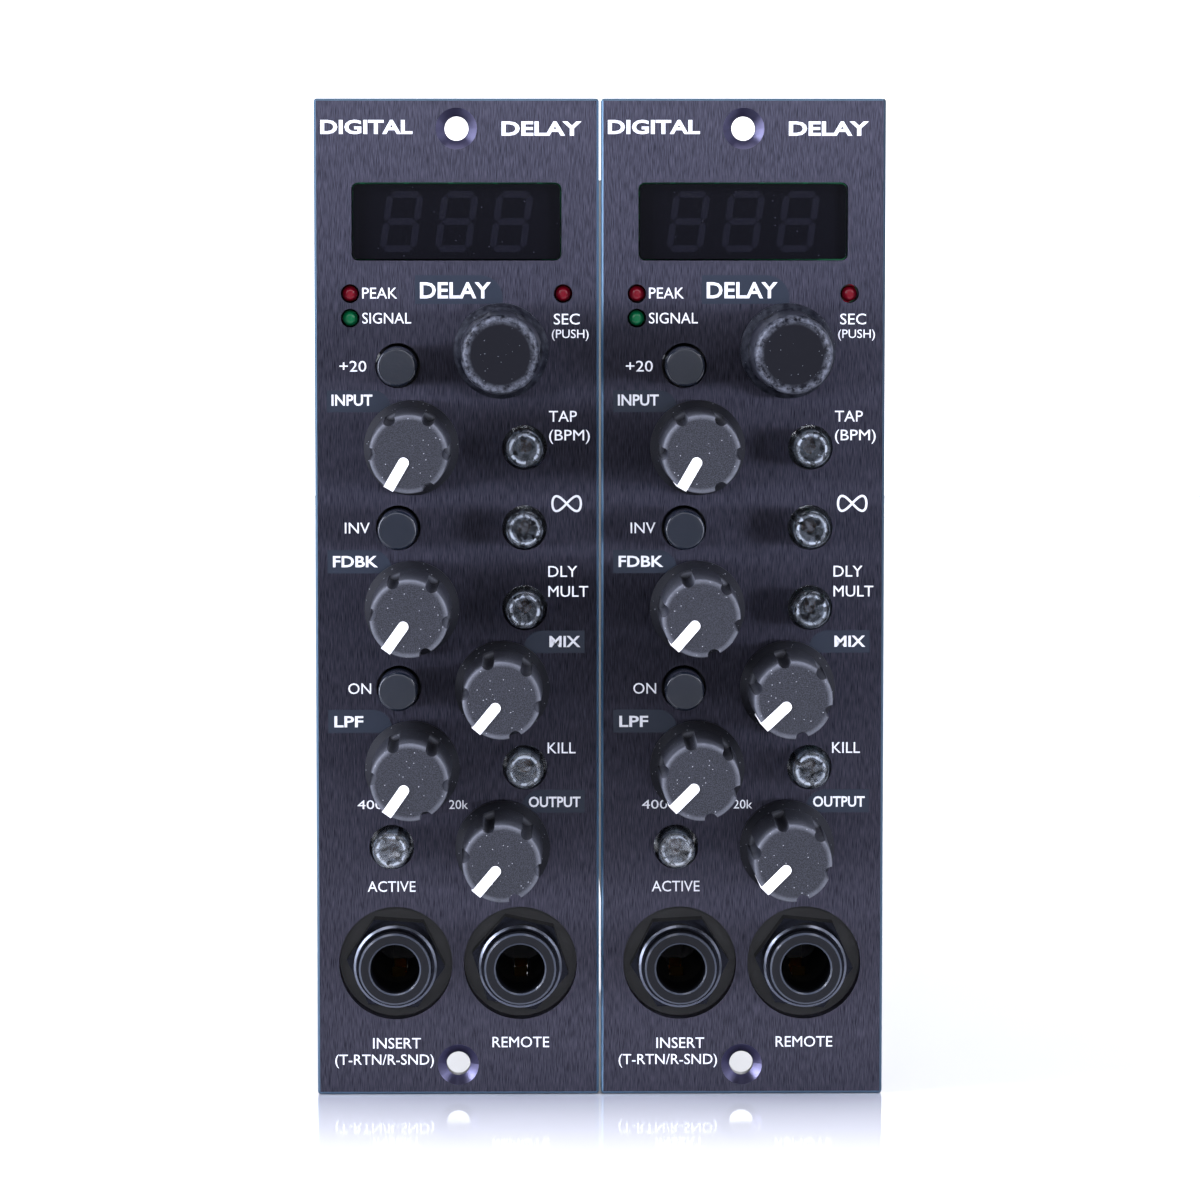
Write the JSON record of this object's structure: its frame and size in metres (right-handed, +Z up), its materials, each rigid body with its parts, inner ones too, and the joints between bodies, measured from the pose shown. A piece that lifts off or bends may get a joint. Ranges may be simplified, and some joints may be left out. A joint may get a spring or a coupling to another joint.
{
  "type": "rack effects unit",
  "caption": "Pair of slim rack delay modules with a digit window, turned knobs, push buttons, lamps and sockets on tall brushed panels, and boards on folded chassis behind.",
  "frame": {"origin": "centre of the four rack screw holes, on the rear face of the front panels", "axes": "+X to the viewer's right, +Z up, -Y out of the front panels"},
  "size_m": [0.076, 0.178, 0.1334],
  "materials": {
    "anodised_panel": "brushed and dark anodised",
    "coated_steel": "black powder coat",
    "circuit_board": "green solder mask",
    "plated_steel": "zinc plated",
    "knob_rubber": "matt soft touch",
    "black_cap": "satin",
    "clear_cap": "clear",
    "smoked_acrylic": "polished",
    "display_body": "grey face",
    "red_lens": "tinted",
    "green_lens": "tinted",
    "amber_lens": "clear epoxy",
    "control_can": "plated",
    "switch_body": "moulded",
    "jack_moulding": "satin",
    "dark_nickel": "black nickel",
    "contact_brass": "bright",
    "connector_body": "moulded",
    "chip_body": "moulded",
    "capacitor_can": "sleeved",
    "relay_case": "moulded"
  },
  "bodies": {
    "module_pair": {"display_windows": "smoked_acrylic", "display_blocks": "display_body", "red_lamps": "red_lens", "green_lamps": "green_lens", "button_lamps": "amber_lens", "pot_bodies": "control_can", "encoder_bodies": "control_can", "latching_switches": "switch_body", "tact_switches": "switch_body", "jack_housings": "jack_moulding", "jack_nuts": "dark_nickel", "jack_contacts": "contact_brass", "jack_boards": "circuit_board", "board_sockets": "connector_body", "board_headers": "connector_body", "standoffs": "plated_steel", "board_screws": "plated_steel", "panel_studs": "plated_steel", "panel_nuts": "plated_steel", "chips": "chip_body", "capacitors": "capacitor_can", "bypass_relays": "relay_case", "left_front_panel": "anodised_panel", "left_chassis": "coated_steel", "left_control_board": "circuit_board", "left_main_board": "circuit_board", "right_front_panel": "anodised_panel", "right_chassis": "coated_steel", "right_control_board": "circuit_board", "right_main_board": "circuit_board"},
    "left_encoder_plunger": {"left_encoder_plunger": "plated_steel"},
    "left_delay_knob": {"left_delay_knob": "knob_rubber"},
    "left_input_knob": {"left_input_knob": "knob_rubber"},
    "left_feedback_knob": {"left_feedback_knob": "knob_rubber"},
    "left_mix_knob": {"left_mix_knob": "knob_rubber"},
    "left_filter_knob": {"left_filter_knob": "knob_rubber"},
    "left_output_knob": {"left_output_knob": "knob_rubber"},
    "left_boost_button": {"left_boost_button": "black_cap"},
    "left_invert_button": {"left_invert_button": "black_cap"},
    "left_on_button": {"left_on_button": "black_cap"},
    "left_tap_button": {"left_tap_button": "clear_cap"},
    "left_hold_button": {"left_hold_button": "clear_cap"},
    "left_multiply_button": {"left_multiply_button": "clear_cap"},
    "left_kill_button": {"left_kill_button": "clear_cap"},
    "left_active_button": {"left_active_button": "clear_cap"},
    "right_encoder_plunger": {"right_encoder_plunger": "plated_steel"},
    "right_delay_knob": {"right_delay_knob": "knob_rubber"},
    "right_input_knob": {"right_input_knob": "knob_rubber"},
    "right_feedback_knob": {"right_feedback_knob": "knob_rubber"},
    "right_mix_knob": {"right_mix_knob": "knob_rubber"},
    "right_filter_knob": {"right_filter_knob": "knob_rubber"},
    "right_output_knob": {"right_output_knob": "knob_rubber"},
    "right_boost_button": {"right_boost_button": "black_cap"},
    "right_invert_button": {"right_invert_button": "black_cap"},
    "right_on_button": {"right_on_button": "black_cap"},
    "right_tap_button": {"right_tap_button": "clear_cap"},
    "right_hold_button": {"right_hold_button": "clear_cap"},
    "right_multiply_button": {"right_multiply_button": "clear_cap"},
    "right_kill_button": {"right_kill_button": "clear_cap"},
    "right_active_button": {"right_active_button": "clear_cap"}
  },
  "joints": [
    {"name": "left_delay_push", "type": "slide", "parent": "module_pair", "child": "left_encoder_plunger", "axis": [0, 1, 0], "range_m": [0, 0.0005], "stiffness_N_per_m": 800, "springref_m": -0.0005},
    {"name": "left_delay_turn", "type": "hinge", "parent": "left_encoder_plunger", "child": "left_delay_knob", "pos_m": [-0.01315, 0, 0.0333], "axis": [0, 1, 0], "continuous": true},
    {"name": "left_input_turn", "type": "hinge", "parent": "module_pair", "child": "left_input_knob", "pos_m": [-0.0251, 0, 0.0204], "axis": [0, 1, 0], "range_deg": [0, 280]},
    {"name": "left_feedback_turn", "type": "hinge", "parent": "module_pair", "child": "left_feedback_knob", "pos_m": [-0.0251, 0, -0.00104], "axis": [0, 1, 0], "range_deg": [0, 280]},
    {"name": "left_mix_turn", "type": "hinge", "parent": "module_pair", "child": "left_mix_knob", "pos_m": [-0.01305, 0, -0.01176], "axis": [0, 1, 0], "range_deg": [0, 280]},
    {"name": "left_filter_turn", "type": "hinge", "parent": "module_pair", "child": "left_filter_knob", "pos_m": [-0.0251, 0, -0.02248], "axis": [0, 1, 0], "range_deg": [0, 280]},
    {"name": "left_output_turn", "type": "hinge", "parent": "module_pair", "child": "left_output_knob", "pos_m": [-0.01305, 0, -0.0332], "axis": [0, 1, 0], "range_deg": [0, 280]},
    {"name": "left_boost_press", "type": "slide", "parent": "module_pair", "child": "left_boost_button", "axis": [0, 1, 0], "range_m": [0, 0.002], "stiffness_N_per_m": 300, "springref_m": -0.001},
    {"name": "left_invert_press", "type": "slide", "parent": "module_pair", "child": "left_invert_button", "axis": [0, 1, 0], "range_m": [0, 0.002], "stiffness_N_per_m": 300, "springref_m": -0.001},
    {"name": "left_on_press", "type": "slide", "parent": "module_pair", "child": "left_on_button", "axis": [0, 1, 0], "range_m": [0, 0.002], "stiffness_N_per_m": 300, "springref_m": -0.001},
    {"name": "left_tap_press", "type": "slide", "parent": "module_pair", "child": "left_tap_button", "axis": [0, 1, 0], "range_m": [0, 0.0004], "stiffness_N_per_m": 400, "springref_m": -0.001},
    {"name": "left_hold_press", "type": "slide", "parent": "module_pair", "child": "left_hold_button", "axis": [0, 1, 0], "range_m": [0, 0.0004], "stiffness_N_per_m": 400, "springref_m": -0.001},
    {"name": "left_multiply_press", "type": "slide", "parent": "module_pair", "child": "left_multiply_button", "axis": [0, 1, 0], "range_m": [0, 0.0004], "stiffness_N_per_m": 400, "springref_m": -0.001},
    {"name": "left_kill_press", "type": "slide", "parent": "module_pair", "child": "left_kill_button", "axis": [0, 1, 0], "range_m": [0, 0.0004], "stiffness_N_per_m": 400, "springref_m": -0.001},
    {"name": "left_active_press", "type": "slide", "parent": "module_pair", "child": "left_active_button", "axis": [0, 1, 0], "range_m": [0, 0.0004], "stiffness_N_per_m": 400, "springref_m": -0.001},
    {"name": "right_delay_push", "type": "slide", "parent": "module_pair", "child": "right_encoder_plunger", "axis": [0, 1, 0], "range_m": [0, 0.0005], "stiffness_N_per_m": 800, "springref_m": -0.0005},
    {"name": "right_delay_turn", "type": "hinge", "parent": "right_encoder_plunger", "child": "right_delay_knob", "pos_m": [0.02495, 0, 0.0333], "axis": [0, 1, 0], "continuous": true},
    {"name": "right_input_turn", "type": "hinge", "parent": "module_pair", "child": "right_input_knob", "pos_m": [0.013, 0, 0.0204], "axis": [0, 1, 0], "range_deg": [0, 280]},
    {"name": "right_feedback_turn", "type": "hinge", "parent": "module_pair", "child": "right_feedback_knob", "pos_m": [0.013, 0, -0.00104], "axis": [0, 1, 0], "range_deg": [0, 280]},
    {"name": "right_mix_turn", "type": "hinge", "parent": "module_pair", "child": "right_mix_knob", "pos_m": [0.02505, 0, -0.01176], "axis": [0, 1, 0], "range_deg": [0, 280]},
    {"name": "right_filter_turn", "type": "hinge", "parent": "module_pair", "child": "right_filter_knob", "pos_m": [0.013, 0, -0.02248], "axis": [0, 1, 0], "range_deg": [0, 280]},
    {"name": "right_output_turn", "type": "hinge", "parent": "module_pair", "child": "right_output_knob", "pos_m": [0.02505, 0, -0.0332], "axis": [0, 1, 0], "range_deg": [0, 280]},
    {"name": "right_boost_press", "type": "slide", "parent": "module_pair", "child": "right_boost_button", "axis": [0, 1, 0], "range_m": [0, 0.002], "stiffness_N_per_m": 300, "springref_m": -0.001},
    {"name": "right_invert_press", "type": "slide", "parent": "module_pair", "child": "right_invert_button", "axis": [0, 1, 0], "range_m": [0, 0.002], "stiffness_N_per_m": 300, "springref_m": -0.001},
    {"name": "right_on_press", "type": "slide", "parent": "module_pair", "child": "right_on_button", "axis": [0, 1, 0], "range_m": [0, 0.002], "stiffness_N_per_m": 300, "springref_m": -0.001},
    {"name": "right_tap_press", "type": "slide", "parent": "module_pair", "child": "right_tap_button", "axis": [0, 1, 0], "range_m": [0, 0.0004], "stiffness_N_per_m": 400, "springref_m": -0.001},
    {"name": "right_hold_press", "type": "slide", "parent": "module_pair", "child": "right_hold_button", "axis": [0, 1, 0], "range_m": [0, 0.0004], "stiffness_N_per_m": 400, "springref_m": -0.001},
    {"name": "right_multiply_press", "type": "slide", "parent": "module_pair", "child": "right_multiply_button", "axis": [0, 1, 0], "range_m": [0, 0.0004], "stiffness_N_per_m": 400, "springref_m": -0.001},
    {"name": "right_kill_press", "type": "slide", "parent": "module_pair", "child": "right_kill_button", "axis": [0, 1, 0], "range_m": [0, 0.0004], "stiffness_N_per_m": 400, "springref_m": -0.001},
    {"name": "right_active_press", "type": "slide", "parent": "module_pair", "child": "right_active_button", "axis": [0, 1, 0], "range_m": [0, 0.0004], "stiffness_N_per_m": 400, "springref_m": -0.001}
  ]
}
